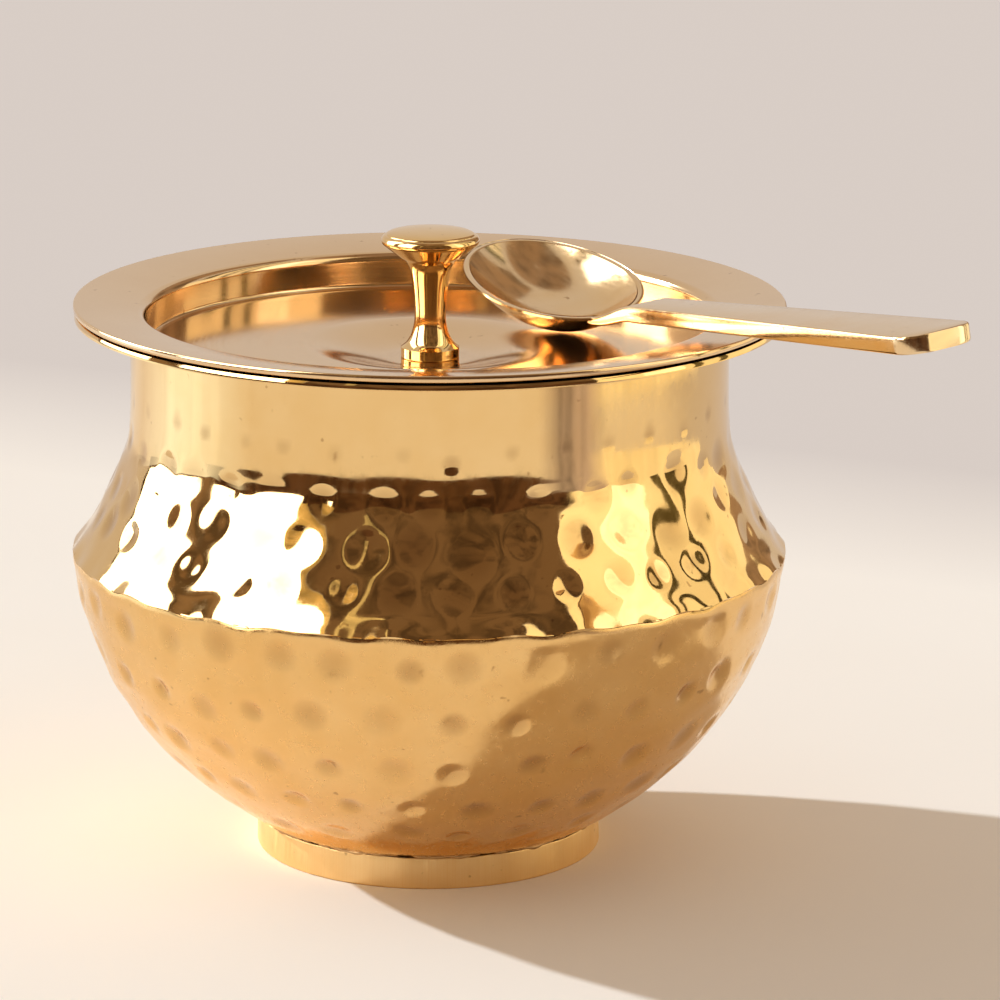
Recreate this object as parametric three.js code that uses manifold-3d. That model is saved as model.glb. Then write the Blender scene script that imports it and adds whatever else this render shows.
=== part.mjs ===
// Ghee pot: a brass pot of two brazed shells on a foot ring, a dished lid with a turned knob,
// and a long-handled spoon that lies across the lid.
// Millimetres, +Z up. The pot's own axis is worked out first, and the whole is then
// moved so that the middle of its footprint is at the origin.

import * as THREE from 'three';
import { mergeVertices } from 'three/addons/utils/BufferGeometryUtils.js';
import Module from 'manifold-3d';

const wasm = await Module();
wasm.setup();

// Fits
const seatGap = 0.3; // between two pieces that lie on each other or are brazed
const lidPlay = 0.5; // round the lid's dish, inside the neck
const screwPlay = 0.3; // round the knob's screw

// Foot ring
const footRadius = 29.5;
const footWall = 1.6;
const footHeight = 5.6; // at the ring's outer wall, up to the braze under the bowl

// Lower shell
const bowlWall = 1.1;
const bowlRadius = 60.6;
const bowlWidestAbove = 44.7; // from the foot ring's upper edge to the widest level
const bowlSidePull = 3.1; // how far the side has drawn in at its control point
const bowlSideDrop = 29.5; // and how far below the widest level that is
const bowlToeReach = 5.1; // the curve's run just above the foot
const bowlToeSlope = 25; // degrees
const bowlToeInset = 1.5; // where the raised bottom starts, inside the foot's outer wall
const bowlToeDrop = 0.9; // below the bowl's level at the foot's outer wall
const bottomDrop = 2.4; // from the toe down to the flat bottom
const beltHeight = 1.7; // from the widest level up to the crease
const beltInset = 0.8; // how far the shell curls in on the way
const lapHeight = 2.6; // of the lower shell's rim inside the upper shell
const lapShelf = 0.4; // below the crease, where the rim bends up

// Upper shell
const shoulderWall = 1.1;
const shoulderProud = 0.05; // past the lower shell
const shoulderLip = 0.55; // height of the small turned edge above the crease
const shoulderEdgeInset = 0.45;
const shoulderSlope = 41.2; // degrees from upright, just above the crease
const shoulderPull = 4.9; // length over which that slope holds
const neckRadius = 50.5;
const neckStartAbove = 21.1; // from the turned edge to where the neck is upright
const neckEase = 3.7;
const neckHeight = 16.46; // upright stretch of the neck
const mouthBend = 0.6; // bend between neck and lip, outside
const lipInset = 0.65; // of the lip's edge from the shell's widest radius
const lipSlope = 7.4; // degrees, the lip and the lid's flange rise outwards

// Lid
const lidWall = 1.1;
const lidBend = 0.6; // bend between flange and dish, underneath
const dishDepth = 9.9; // from the flange's outer edge to the knob's seat
const dishCorner = 0.8; // bend between wall and floor
const seatDip = 2.3; // of the knob's seat below the floor round it
const seatRadius = 7;
const dipRadius = 22; // where the floor starts to dip

// Knob, with its heights above the dish floor
const knobFootRadius = 4.95;
const knobFootHeight = 1.75;
const knobFootBevel = 0.25;
const knobFlareRadius = 3.9;
const knobFlareTop = 2.7;
const knobStemRadius = 3.05;
const knobStemHeight = 4.5;
const knobWaistRadius = 2.65;
const knobWaistHeight = 7.3;
const knobThroatRadius = 3.15;
const knobThroatHeight = 13.1;
const knobNeckRadius = 3.95;
const knobNeckHeight = 16.1;
const knobUnderRadius = 5.5;
const knobUnderHeight = 17.4;
const knobCapRadius = 8.26;
const knobCapHeight = 19.1; // of the cap's lower edge
const knobCapEdge = 1.9;
const knobCapDome = 1;

// Screw and washer that hold the knob
const screwRadius = 1.5;
const screwReach = 5; // of the knob's bore
const screwPoint = 0.5;
const screwHeadRadius = 2.9;
const screwHeadHeight = 1.8;
const screwHeadEdge = 0.5; // height of the head's upright edge
const screwSlotWidth = 0.7;
const screwSlotDepth = 0.8;
const washerRadius = 4;
const washerThickness = 0.8;

// Spoon, in its own frame: the bowl's rim is level and the handle runs along +X
const spoonTip = 20.3; // from the middle of the bowl to the tip
const spoonHeel = 17.6; // and to the side where the handle starts
const spoonHalfWidth = 13.8;
const spoonDepth = 7.4;
const spoonWall = 1.2;
const spoonFullness = 2.4; // power of the bowl's section: 2 is a parabola
const handleSlope = 17.2; // degrees above the rim's plane
const handleRise = 3.05; // of the handle's line above the rim at the heel
const handleOverlap = 3.2; // of the neck over the bowl's rim
const handleSink = 0.75; // of the neck's upper side below the rim, where it meets the bowl
const neckRun = 11; // from the heel to where the straight handle starts
const neckLead = 4; // how far each end of the neck keeps its direction
const handleLength = 93.6; // from the heel to the end
const handleRootHalf = 4.6;
const handleNeckHalf = 4;
const handleEndHalf = 6.9;
const handleThickness = 2.85;
const handleRootThickness = 1.9;
const handleChamfer = 0.35;
const handleCorner = 3;

// How the spoon lies, from the pot's axis
const spoonAzimuth = -57.79; // degrees from +X to where the handle points
const spoonTilt = 9.85; // the bowl's tip is raised
const spoonRoll = 5.4; // the side away from the viewer is raised
const spoonAside = 21.52; // middle of the bowl, along X
const spoonBack = 13.58; // and along Y

// Facets
const roundSteps = 60;
const smallSteps = 24;
const spoonSteps = 40;
const neckSteps = 8;
const dipSteps = 6;

const brass = (name, colour, roughness) =>
  new THREE.MeshStandardMaterial({ name, color: colour, roughness, metalness: 1 });
const hammeredBrass = brass('hammered_brass', 0xc9964f, 0.24);
const smoothBrass = brass('smooth_brass', 0xd2a25c, 0.16);
const turnedBrass = brass('turned_brass', 0xd0a058, 0.14);
const plainBrass = brass('plain_brass', 0xb98c4c, 0.35);

const degrees = Math.PI / 180;
const point = (r, z) => new THREE.Vector2(r, z);
const curve = (a, b, c, d, steps) => new THREE.CubicBezierCurve(a, b, c, d).getPoints(steps);

// Points of a round or oval arc, from one angle to another, in degrees from the +r direction.
function arc(centre, radius, from, to, steps, height = radius) {
  const points = [];
  for (let i = 0; i <= steps; i += 1) {
    const angle = (from + ((to - from) * i) / steps) * degrees;
    points.push(point(centre.x + radius * Math.cos(angle), centre.y + height * Math.sin(angle)));
  }
  return points;
}

// The same path, moved sideways to its left by a distance.
function beside(path, distance) {
  return path.map((here, i) => {
    const before = path[Math.max(i - 1, 0)];
    const after = path[Math.min(i + 1, path.length - 1)];
    const run = after.clone().sub(before).normalize();
    return point(here.x - run.y * distance, here.y + run.x * distance);
  });
}

function heightAt(path, radius) {
  for (let i = 1; i < path.length; i += 1) {
    const a = path[i - 1];
    const b = path[i];
    if ((a.x - radius) * (b.x - radius) <= 0 && a.x !== b.x) {
      return a.y + ((b.y - a.y) * (radius - a.x)) / (b.x - a.x);
    }
  }
  throw new Error('the path does not reach that radius');
}

// A turned solid. A profile that stays off the axis is closed on itself.
function turned(profile, steps = roundSteps) {
  const onAxis = profile[0].x === 0 && profile[profile.length - 1].x === 0;
  const points = onAxis ? profile : [...profile, profile[0].clone()];
  return new THREE.LatheGeometry(points, steps).rotateX(Math.PI / 2);
}

function solidOf(geometry) {
  const bare = geometry.clone();
  bare.deleteAttribute('normal');
  bare.deleteAttribute('uv');
  const merged = mergeVertices(bare, 1e-4);
  return new wasm.Manifold(
    new wasm.Mesh({
      numProp: 3,
      vertProperties: new Float32Array(merged.attributes.position.array),
      triVerts: new Uint32Array(merged.index.array),
    }),
  );
}

function geometryOf(solid) {
  const mesh = solid.getMesh();
  const geometry = new THREE.BufferGeometry();
  geometry.setAttribute('position', new THREE.BufferAttribute(mesh.vertProperties, 3));
  geometry.setIndex(new THREE.BufferAttribute(mesh.triVerts, 1));
  geometry.computeVertexNormals();
  return geometry;
}

// A solid through rings of equally many points, with a fan over each end.
function ringSolid(rings) {
  const count = rings[0].length;
  const positions = [];
  const triangles = [];
  const middle = (ring) =>
    ring.reduce((sum, p) => sum.add(p), new THREE.Vector3()).divideScalar(ring.length);
  rings.forEach((ring) => ring.forEach((p) => positions.push(p.x, p.y, p.z)));
  for (let k = 1; k < rings.length; k += 1) {
    for (let i = 0; i < count; i += 1) {
      const a = (k - 1) * count + i;
      const b = (k - 1) * count + ((i + 1) % count);
      triangles.push(a, b, b + count, a, b + count, a + count);
    }
  }
  const first = middle(rings[0]);
  const last = middle(rings[rings.length - 1]);
  positions.push(first.x, first.y, first.z, last.x, last.y, last.z);
  const firstIndex = rings.length * count;
  const lastStart = (rings.length - 1) * count;
  for (let i = 0; i < count; i += 1) {
    const next = (i + 1) % count;
    triangles.push(firstIndex, next, i);
    triangles.push(firstIndex + 1, lastStart + i, lastStart + next);
  }
  const geometry = new THREE.BufferGeometry();
  geometry.setAttribute('position', new THREE.Float32BufferAttribute(positions, 3));
  geometry.setIndex(triangles);
  return geometry;
}

// Lower shell: outer path from the middle of the bottom up to the widest level
const toe = point(footRadius - bowlToeInset, footHeight + seatGap - bowlToeDrop);
const widest = point(bowlRadius, footHeight + bowlWidestAbove);
const crease = widest.y + beltHeight;
const bottomBend = bottomDrop / (1 - Math.cos(bowlToeSlope * degrees));
const bottomCentre = point(
  toe.x - bottomBend * Math.sin(bowlToeSlope * degrees),
  toe.y - bottomDrop + bottomBend,
);
const bottomCurve = arc(bottomCentre, bottomBend, -90, -90 + bowlToeSlope, 3);
const bowlSide = curve(
  toe,
  point(
    toe.x + bowlToeReach * Math.cos(bowlToeSlope * degrees),
    toe.y + bowlToeReach * Math.sin(bowlToeSlope * degrees),
  ),
  point(widest.x - bowlSidePull, widest.y - bowlSideDrop),
  widest,
  10,
);
const bowlPath = [point(0, toe.y - bottomDrop), ...bottomCurve, ...bowlSide.slice(1)];

// Upper shell: outer path from the crease up to the lip's edge
const shoulderRadius = bowlRadius + shoulderProud;
const lipRadius = shoulderRadius - lipInset;
const edgeStart = point(shoulderRadius - shoulderEdgeInset, crease + seatGap);
const edgeInside = edgeStart.x - shoulderWall;
const shoulderStart = point(shoulderRadius, edgeStart.y + shoulderLip);
const neckStart = point(neckRadius, shoulderStart.y + neckStartAbove);
const shoulderCurve = curve(
  shoulderStart,
  point(
    shoulderStart.x - shoulderPull * Math.sin(shoulderSlope * degrees),
    shoulderStart.y + shoulderPull * Math.cos(shoulderSlope * degrees),
  ),
  point(neckStart.x, neckStart.y - neckEase),
  neckStart,
  8,
);
const mouthCentre = point(neckRadius + mouthBend, neckStart.y + neckHeight);
const mouthCurve = arc(mouthCentre, mouthBend, 180, 90 + lipSlope, 4);
const mouthEnd = mouthCurve[mouthCurve.length - 1];
const lipEnd = point(
  lipRadius,
  mouthEnd.y + (lipRadius - mouthEnd.x) * Math.tan(lipSlope * degrees),
);
const shoulderPath = [edgeStart, ...shoulderCurve, ...mouthCurve, lipEnd];

function potShoulder() {
  const aboveEdge = (p) => p.y > shoulderStart.y;
  const inside = beside(shoulderPath.slice(1), shoulderWall).filter(aboveEdge);
  return turned([...shoulderPath, ...inside.reverse(), point(edgeInside, edgeStart.y)]);
}

// The rim of the lower shell curls in to the crease and then runs up inside the upper shell.
function potBowl() {
  const aboveEdge = (p) => p.y > shoulderStart.y;
  const lapLine = beside(shoulderCurve, shoulderWall + seatGap).filter(aboveEdge);
  const lapOutside = lapLine.filter((p) => p.y < shoulderStart.y + lapHeight);
  const lapInside = beside(lapLine, bowlWall).slice(0, lapOutside.length).reverse();
  const belt = arc(point(bowlRadius - beltInset, widest.y), beltInset, 0, 90, 3, beltHeight);
  const shelf = point(edgeInside - seatGap, crease);
  const lapFoot = point(shelf.x - bowlWall, crease - lapShelf);
  const inside = beside(bowlPath, bowlWall).slice(1).reverse();
  return turned([
    ...bowlPath,
    ...belt.slice(1),
    shelf,
    ...lapOutside,
    ...lapInside,
    lapFoot,
    ...inside,
    point(0, bowlPath[0].y + bowlWall),
  ]);
}

function footRing() {
  const innerRadius = footRadius - footWall;
  return turned([
    point(innerRadius, 0),
    point(footRadius, 0),
    point(footRadius, heightAt(bowlPath, footRadius) - seatGap),
    point(innerRadius, heightAt(bowlPath, innerRadius) - seatGap),
  ]);
}

// Lid: upper path from the flange's edge inwards to the dish floor
const lidEdge = point(
  lipRadius,
  lipEnd.y + (shoulderWall + seatGap + lidWall) / Math.cos(lipSlope * degrees),
);
const dishRadius = neckRadius - shoulderWall - lidPlay - lidWall;
const rollRadius = lidBend + lidWall;
const rollEnd = dishRadius + rollRadius * (1 - Math.sin(lipSlope * degrees));
const rollTop = lidEdge.y - (lidEdge.x - rollEnd) * Math.tan(lipSlope * degrees);
const rollCentre = point(dishRadius + rollRadius, rollTop - rollRadius * Math.cos(lipSlope * degrees));
const dishFloor = lidEdge.y - dishDepth;
const cornerCentre = point(dishRadius - dishCorner, dishFloor + seatDip + dishCorner);
const dip = [];
for (let i = 0; i <= dipSteps; i += 1) {
  const share = i / dipSteps;
  const depth = seatDip * share ** 2 * (3 - 2 * share);
  dip.push(point(dipRadius + (seatRadius - dipRadius) * share, dishFloor + seatDip - depth));
}
const lidPath = [
  lidEdge,
  ...arc(rollCentre, rollRadius, 90 + lipSlope, 180, 6),
  ...arc(cornerCentre, dishCorner, 0, -90, 3),
  ...dip,
];
const floorUnder = dishFloor - lidWall;
const washerUnder = floorUnder - washerThickness;
const screwHole = screwRadius + screwPlay;

function lidSheet() {
  const under = beside(lidPath, lidWall).reverse();
  return turned([...lidPath, point(screwHole, dishFloor), point(screwHole, floorUnder), ...under]);
}

function knobPiece() {
  const at = (r, height) => point(r, dishFloor + height);
  const edgeHalf = knobCapEdge / 2;
  const edgeMiddle = at(knobCapRadius - edgeHalf, knobCapHeight + edgeHalf);
  const edge = arc(edgeMiddle, edgeHalf, -60, 80, 6);
  const stem = new THREE.SplineCurve([
    at(knobFootRadius, knobFootHeight),
    at(knobFlareRadius, knobFlareTop),
    at(knobStemRadius, knobStemHeight),
    at(knobWaistRadius, knobWaistHeight),
    at(knobThroatRadius, knobThroatHeight),
    at(knobNeckRadius, knobNeckHeight),
    at(knobUnderRadius, knobUnderHeight),
    edge[0],
  ]).getPoints(21);
  const domeStart = edge[edge.length - 1];
  const domeRise = knobCapHeight + knobCapEdge + knobCapDome + dishFloor - domeStart.y;
  const dome = arc(point(0, domeStart.y), domeStart.x, 0, 90, 5, domeRise);
  dome[dome.length - 1].x = 0;
  return turned(
    [
      at(0, screwReach + screwHole),
      at(screwHole, screwReach),
      at(screwHole, 0),
      at(knobFootRadius - knobFootBevel, 0),
      at(knobFootRadius, knobFootBevel),
      ...stem,
      ...edge.slice(1),
      ...dome.slice(1),
    ],
    smallSteps,
  );
}

function knobWasher() {
  return turned(
    [
      point(screwHole, washerUnder),
      point(washerRadius, washerUnder),
      point(washerRadius, floorUnder),
      point(screwHole, floorUnder),
    ],
    smallSteps,
  );
}

function knobScrew() {
  const headUnder = washerUnder - screwHeadHeight;
  const tip = dishFloor + screwReach - screwPlay;
  const domeMiddle = point(0, washerUnder - screwHeadEdge);
  const head = arc(domeMiddle, screwHeadRadius, -90, 0, 4, screwHeadHeight - screwHeadEdge);
  head[0].x = 0;
  const body = turned(
    [
      ...head,
      point(screwHeadRadius, washerUnder),
      point(screwRadius, washerUnder),
      point(screwRadius, tip - screwPoint),
      point(screwRadius - screwPoint, tip),
      point(0, tip),
    ],
    smallSteps,
  );
  const slot = new THREE.BoxGeometry(screwHeadRadius * 3, screwSlotWidth, screwSlotDepth * 2);
  slot.translate(0, 0, headUnder);
  return geometryOf(solidOf(body).subtract(solidOf(slot)));
}

// Ring of the spoon bowl's outline, shrunk towards the middle
function spoonRing(share, inset, height) {
  const ring = [];
  for (let i = 0; i < spoonSteps; i += 1) {
    const angle = (i / spoonSteps) * 2 * Math.PI;
    const reach = Math.cos(angle) > 0 ? spoonHeel : spoonTip;
    const along = share * (reach - inset) * Math.cos(angle);
    const across = share * (spoonHalfWidth - inset) * Math.sin(angle);
    ring.push(new THREE.Vector3(along, across, height));
  }
  return ring;
}

// The bowl filled to its rim, and past it if the cutter of the hollow is wanted
function spoonCup(inset, depth, above) {
  const shares = [0.12, 0.35, 0.55, 0.72, 0.86, 0.95, 1];
  const rings = shares.map((share) =>
    spoonRing(share, inset, -depth * (1 - share ** spoonFullness)));
  if (above > 0) {
    rings.push(spoonRing(1, inset, above));
  }
  return solidOf(ringSolid(rings));
}

// Stations of the handle: it leaves the rim, bends in the neck and runs straight to its end
function handleStations() {
  const slope = handleSlope * degrees;
  const onHandle = (s) => point(spoonHeel + s * Math.cos(slope), handleRise + s * Math.sin(slope));
  const root = point(spoonHeel - handleOverlap, -handleSink);
  const neck = new THREE.CubicBezierCurve(
    root,
    point(root.x + neckLead, root.y),
    onHandle(neckRun - neckLead),
    onHandle(neckRun),
  );
  const stations = [];
  for (let i = 0; i <= neckSteps; i += 1) {
    const share = i / neckSteps;
    const run = neck.getTangent(share);
    stations.push({
      place: neck.getPoint(share),
      lean: Math.atan2(run.y, run.x),
      half: handleRootHalf + (handleNeckHalf - handleRootHalf) * share,
      thick: handleRootThickness + (handleThickness - handleRootThickness) * share,
    });
  }
  const cornerStart = handleLength - handleCorner;
  const runs = [0.25, 0.5, 0.75].map((share) => neckRun + (cornerStart - neckRun) * share);
  for (let angle = 0; angle <= 90; angle += 22.5) {
    runs.push(cornerStart + handleCorner * Math.sin(angle * degrees));
  }
  runs.forEach((s) => {
    const share = (s - neckRun) / (handleLength - neckRun);
    const past = Math.max(0, s - cornerStart);
    const cut = handleCorner - Math.sqrt(Math.max(handleCorner ** 2 - past ** 2, 0));
    const half = handleNeckHalf + (handleEndHalf - handleNeckHalf) * share - cut;
    stations.push({ place: onHandle(s), lean: slope, half, thick: handleThickness });
  });
  return stations;
}

// Section of the handle, with its edges broken
function handleRing({ place, lean, half, thick }) {
  const c = handleChamfer;
  const outline = [
    [-half, -c], [-half, c - thick], [c - half, -thick], [half - c, -thick],
    [half, c - thick], [half, -c], [half - c, 0], [c - half, 0],
  ];
  return outline.map(([across, up]) => new THREE.Vector3(
    place.x - up * Math.sin(lean),
    across,
    place.y + up * Math.cos(lean),
  ));
}

function spoonPiece() {
  const handle = solidOf(ringSolid(handleStations().map(handleRing)));
  const cup = spoonCup(0, spoonDepth, 0);
  const hollow = spoonCup(spoonWall, spoonDepth - spoonWall, spoonDepth);
  return geometryOf(cup.add(handle).subtract(hollow));
}

// Height of the lid's upper side, for what lies on it
function lidTop(radius) {
  if (radius > lidEdge.x) {
    return -Infinity;
  }
  return radius < seatRadius ? dishFloor : heightAt(lidPath, radius);
}

// The least height at which the turned spoon clears the lid, tried along all its edges
function restingHeight(geometry) {
  const places = geometry.attributes.position;
  const corners = geometry.index.array;
  const from = new THREE.Vector3();
  const to = new THREE.Vector3();
  const here = new THREE.Vector3();
  let height = -Infinity;
  for (let i = 0; i < corners.length; i += 1) {
    const next = i % 3 === 2 ? i - 2 : i + 1;
    from.fromBufferAttribute(places, corners[i]);
    to.fromBufferAttribute(places, corners[next]);
    const steps = Math.ceil(from.distanceTo(to)) + 1;
    for (let k = 0; k <= steps; k += 1) {
      here.lerpVectors(from, to, k / steps);
      const radius = Math.hypot(here.x + spoonAside, here.y + spoonBack);
      height = Math.max(height, lidTop(radius) - here.z);
    }
  }
  return height + seatGap;
}

function named(name, geometry, material) {
  const mesh = new THREE.Mesh(geometry, material);
  mesh.name = name;
  return mesh;
}

function spoonPlaced() {
  const holder = new THREE.Group();
  holder.rotation.set(spoonRoll * degrees, spoonTilt * degrees, spoonAzimuth * degrees, 'ZYX');
  const turn = new THREE.Matrix4().makeRotationFromEuler(holder.rotation);
  const geometry = spoonPiece();
  const height = restingHeight(geometry.clone().applyMatrix4(turn));
  holder.position.set(spoonAside, spoonBack, height);
  holder.add(named('spoon', geometry, smoothBrass));
  return holder;
}

const potAxis = new THREE.Group();
potAxis.add(
  named('pot_bowl', potBowl(), hammeredBrass),
  named('pot_shoulder', potShoulder(), hammeredBrass),
  named('foot_ring', footRing(), plainBrass),
  named('lid', lidSheet(), smoothBrass),
  named('knob', knobPiece(), turnedBrass),
  named('knob_washer', knobWasher(), plainBrass),
  named('knob_screw', knobScrew(), plainBrass),
  spoonPlaced(),
);
potAxis.updateMatrixWorld(true);

// The middle of the footprint goes to the origin.
const footprint = new THREE.Box3().setFromObject(potAxis, true);
potAxis.position.set(
  -(footprint.min.x + footprint.max.x) / 2,
  -(footprint.min.y + footprint.max.y) / 2,
  -footprint.min.z,
);

const gheePot = new THREE.Group();
gheePot.add(potAxis);
gheePot.updateMatrixWorld(true);

export default gheePot;
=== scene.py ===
"""Ghee pot of hammered brass, with its lid and spoon, on a pale floor in warm light."""

import math

import bmesh
import bpy
import numpy as np
from mathutils import Matrix, Vector

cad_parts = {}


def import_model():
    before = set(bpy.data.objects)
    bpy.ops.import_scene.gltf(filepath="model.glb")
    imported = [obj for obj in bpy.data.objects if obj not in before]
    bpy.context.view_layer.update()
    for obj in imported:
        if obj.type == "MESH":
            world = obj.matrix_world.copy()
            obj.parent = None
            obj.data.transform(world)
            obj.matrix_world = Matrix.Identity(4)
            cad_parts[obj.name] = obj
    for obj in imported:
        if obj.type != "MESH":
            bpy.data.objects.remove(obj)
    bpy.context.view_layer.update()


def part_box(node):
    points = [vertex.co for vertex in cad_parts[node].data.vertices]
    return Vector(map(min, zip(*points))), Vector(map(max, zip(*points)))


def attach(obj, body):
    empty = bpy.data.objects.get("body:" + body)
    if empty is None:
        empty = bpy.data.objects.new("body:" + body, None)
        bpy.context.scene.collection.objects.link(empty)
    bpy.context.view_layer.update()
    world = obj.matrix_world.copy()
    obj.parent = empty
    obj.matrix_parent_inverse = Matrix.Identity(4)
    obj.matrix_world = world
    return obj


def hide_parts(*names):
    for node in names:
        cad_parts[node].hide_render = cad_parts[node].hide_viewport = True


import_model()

MM = 0.001
rng = np.random.default_rng(7)

# Where the pot's own axis stands, and the camera as seen from there, in millimetres
AXIS = (-11.231, 11.756)
CAMERA_PLACE = (0, -808, 261.6)
CAMERA_YAW = 0.85
CAMERA_PITCH = 14.02
CAMERA_ROLL = 0.4
LENS = 176.15
SENSOR = 36

# Foot ring, millimetres, and its shallow dents: depths and how many go round
FOOT_RADIUS = 29.5
FOOT_WALL = 1.6
FOOT_HEIGHT = 5.6
FOOT_SINK = 0.25
FOOT_SOFT = 0.35
FOOT_DENTS = (0.09, 0.07)
FOOT_DENT_TURNS = (17, 31)

# Bead of brazing metal between foot and bowl
BEAD = 0.42
BEAD_FLATNESS = 0.8
BEAD_LIFT = 0.1
BEAD_STEPS = 720

# Bowl: outer path from the toe up to its widest level
WALL = 1.1
TOE = (28, 5)
TOE_REACH = 5.1
TOE_SLOPE = 25
BOTTOM_DROP = 2.4
WIDEST = (60.6, 50.3)
SIDE_PULL = 3.1
SIDE_DROP = 29.5
CREASE = 52.0
BELT_BEND = 0.15
BELT_ARC = 84
LAP_SHELF_RADIUS = 58.8
LAP_SHELF_DROP = 0.5
LAP_HEIGHT = 3.2
LAP_LEAN = 0.6
CENTRE_HOLE = 0.4
BOWL_SPACING = 0.62
BOTTOM_SPACING = 2.5

# Wavy crease between the two shells: height, how many go round and start of each wave
CREASE_WAVES = ((0.2, 37, 0.6), (0.17, 23, 2.1), (0.1, 9, 0))
CREASE_REACH = 5
CREASE_HOLD = 1
CREASE_SEAM = 0.05

# Shoulder, neck and lip
EDGE = (60.5, 52.05)
EDGE_WIDTH = 1
EDGE_RISE = 0.1
SHOULDER = (60.65, 52.12)
SHOULDER_SLOPE = 41.2
SHOULDER_PULL = 4.9
NECK = (50.5, 73.95)
NECK_EASE = 3.7
NECK_FLARE = 0.2
FLARE_FADE_UP = 4
FLARE_FADE_DOWN = 6
PROFILE_SPACING = 0.1
EASE_STEPS = 60
EASE_SPREAD = 24
EASE_FROM = (62, 68)
EASE_TO = 4
MOUTH = (51.1, 90.41)
MOUTH_BEND = 0.6
LIP_RADIUS = 60
LIP_SLOPE = 7.4
LIP_STOPS = (0.6, 0.06)
# Rounding of the lip: share of the wall, and how far it bulges outwards and upwards
LIP_ROUND = ((0, 0.12, 0.1), (0.5, 0.2, 0), (0.88, 0.1, 0))
PLAIN_FROM = 80
WORKED_SPACING = 0.6
PLAIN_SPACING = 1.3

# Lid
LID_EDGE = (60, 94.69)
LID_BEND = 1.7
DISH_RADIUS = 47.8
DISH_FLOOR = 84.79
DISH_CORNER = 0.8
SEAT_DIP = 2.3
SEAT_RADIUS = 7
SEAT_INNER = 4
DIP_RADIUS = 22
DIP_RINGS = 20
FLOOR_RINGS = (42, 34, 28)
HOLE_RADIUS = 1.8
LID_SOFT = 0.4

# Knob: radius and height above the dish floor
KNOB_FOOT = (4.95, 1.75)
KNOB_STEM = ((3.9, 2.7), (3.05, 4.5), (2.65, 7.3), (3.15, 13.1), (3.95, 16.1), (5.5, 17.4))
KNOB_CAP = (8.26, 19.1)
KNOB_CAP_EDGE = 1.9
KNOB_DOME = 1
KNOB_BORE = 5
KNOB_BORE_TIP = 0.15
KNOB_FOOT_BEND = 0.25

# Spoon, in its own frame
SPOON_TIP = 20.3
SPOON_HEEL = 17.6
SPOON_HALF = 13.8
SPOON_DEPTH = 7.4
SPOON_WALL = 1.2
SPOON_FULLNESS = 2.4
# Rounding of the rim: distance in from the outer edge, and height
SPOON_RIM = ((0, -0.42), (0.06, -0.16), (0.25, -0.02), (0.6, 0), (0.95, -0.02), (1.14, -0.16), (1.2, -0.42))
HANDLE_SLOPE = 17.2
HANDLE_RISE = 3.05
HANDLE_OVERLAP = 3.2
HANDLE_SINK = 0.35
NECK_RUN = 11
NECK_LEAD = 4
HANDLE_LENGTH = 93.6
HANDLE_HALVES = (3.8, 4, 6.9)
HANDLE_THICKNESS = (1.2, 2.85)
HANDLE_CORNER = 4.2
HANDLE_SOFT = 0.45
SPOON_PLACE = (21.52, 13.58)
SPOON_TURN = (5.4, 9.85, -57.79)

# Hammer marks: height, how many in the row, radius, depth
BOWL_ROWS = (
    (47.4, 34, 3.4, 0.50),
    (37.0, 33, 3.2, 0.58),
    (27.3, 31, 3.3, 0.58),
    (19.2, 28, 3.1, 0.52),
    (12.4, 23, 2.9, 0.42),
)
SHOULDER_ROWS = (
    (79.8, 35, 1.5, 0.09),
    (71.9, 36, 3.2, 0.20),
    (65.0, 37, 3.8, 0.30),
    (58.8, 38, 3.6, 0.30),
)
ROUND_STEPS = 600
RING_STEPS = 360

# How much the hammer marks differ, how dark the painted shade in each dent is, and how the marks of the
# tool look
MARK_TURN = 0.1
MARK_RISE = 0.55
MARK_SIZE = (0.78, 1.18)
MARK_DEPTH = (0.55, 1.3)
MARK_EDGE = (1.1, 2.2)
MARK_REACH = 1.2
MARK_PAINTED_SHADE = (0.2, 0.6)
NICK_CHANCE = 0.55
NICK_ASIDE = 0.25
NICK_STRETCH = (1.6, 1.6, 0.9)
NICK_DARKNESS = 1.15
NICK_SIZE = (0.5, 1.0)

# Where the hammering fades in and out, and the slow unevenness under it: depth and size
BOWL_WORKED_RADIUS = (31, 35)
BOWL_WORKED_TOP = (51.2, 49)
BOWL_UNEVEN = (0.34, 17)
SHOULDER_WORKED_LOW = (53.2, 55.2)
SHOULDER_WORKED_TOP = (80.5, 77.5)
SHOULDER_UNEVEN = (0.3, 15)
SHOULDER_UNEVEN_TOP = (76, 70)
UNEVEN_WAVES = 28
UNEVEN_TURNS = 380
UNEVEN_SPREAD = 2.6


# Shapes: paths in the plane of radius and height

def bezier(a, b, c, d, steps):
    t = np.linspace(0, 1, steps + 1)[:, None]
    a, b, c, d = (np.asarray(p, float) for p in (a, b, c, d))
    return a * (1 - t) ** 3 + 3 * b * t * (1 - t) ** 2 + 3 * c * t**2 * (1 - t) + d * t**3


def arc(centre, radius, start, end, steps, height=None):
    angles = np.radians(np.linspace(start, end, steps + 1))
    tall = radius if height is None else height
    return np.stack([centre[0] + radius * np.cos(angles), centre[1] + tall * np.sin(angles)], 1)


def spline(points, steps):
    """A smooth curve through all the points."""
    points = np.asarray(points, float)
    ends = np.vstack([points[0], points, points[-1]])
    parts = []
    for i in range(len(points) - 1):
        before, a, b, after = ends[i:i + 4]
        parts.append(bezier(a, a + (b - before) / 6, b - (after - a) / 6, b, steps)[:-1])
    return np.vstack([*parts, points[-1:]])


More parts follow.
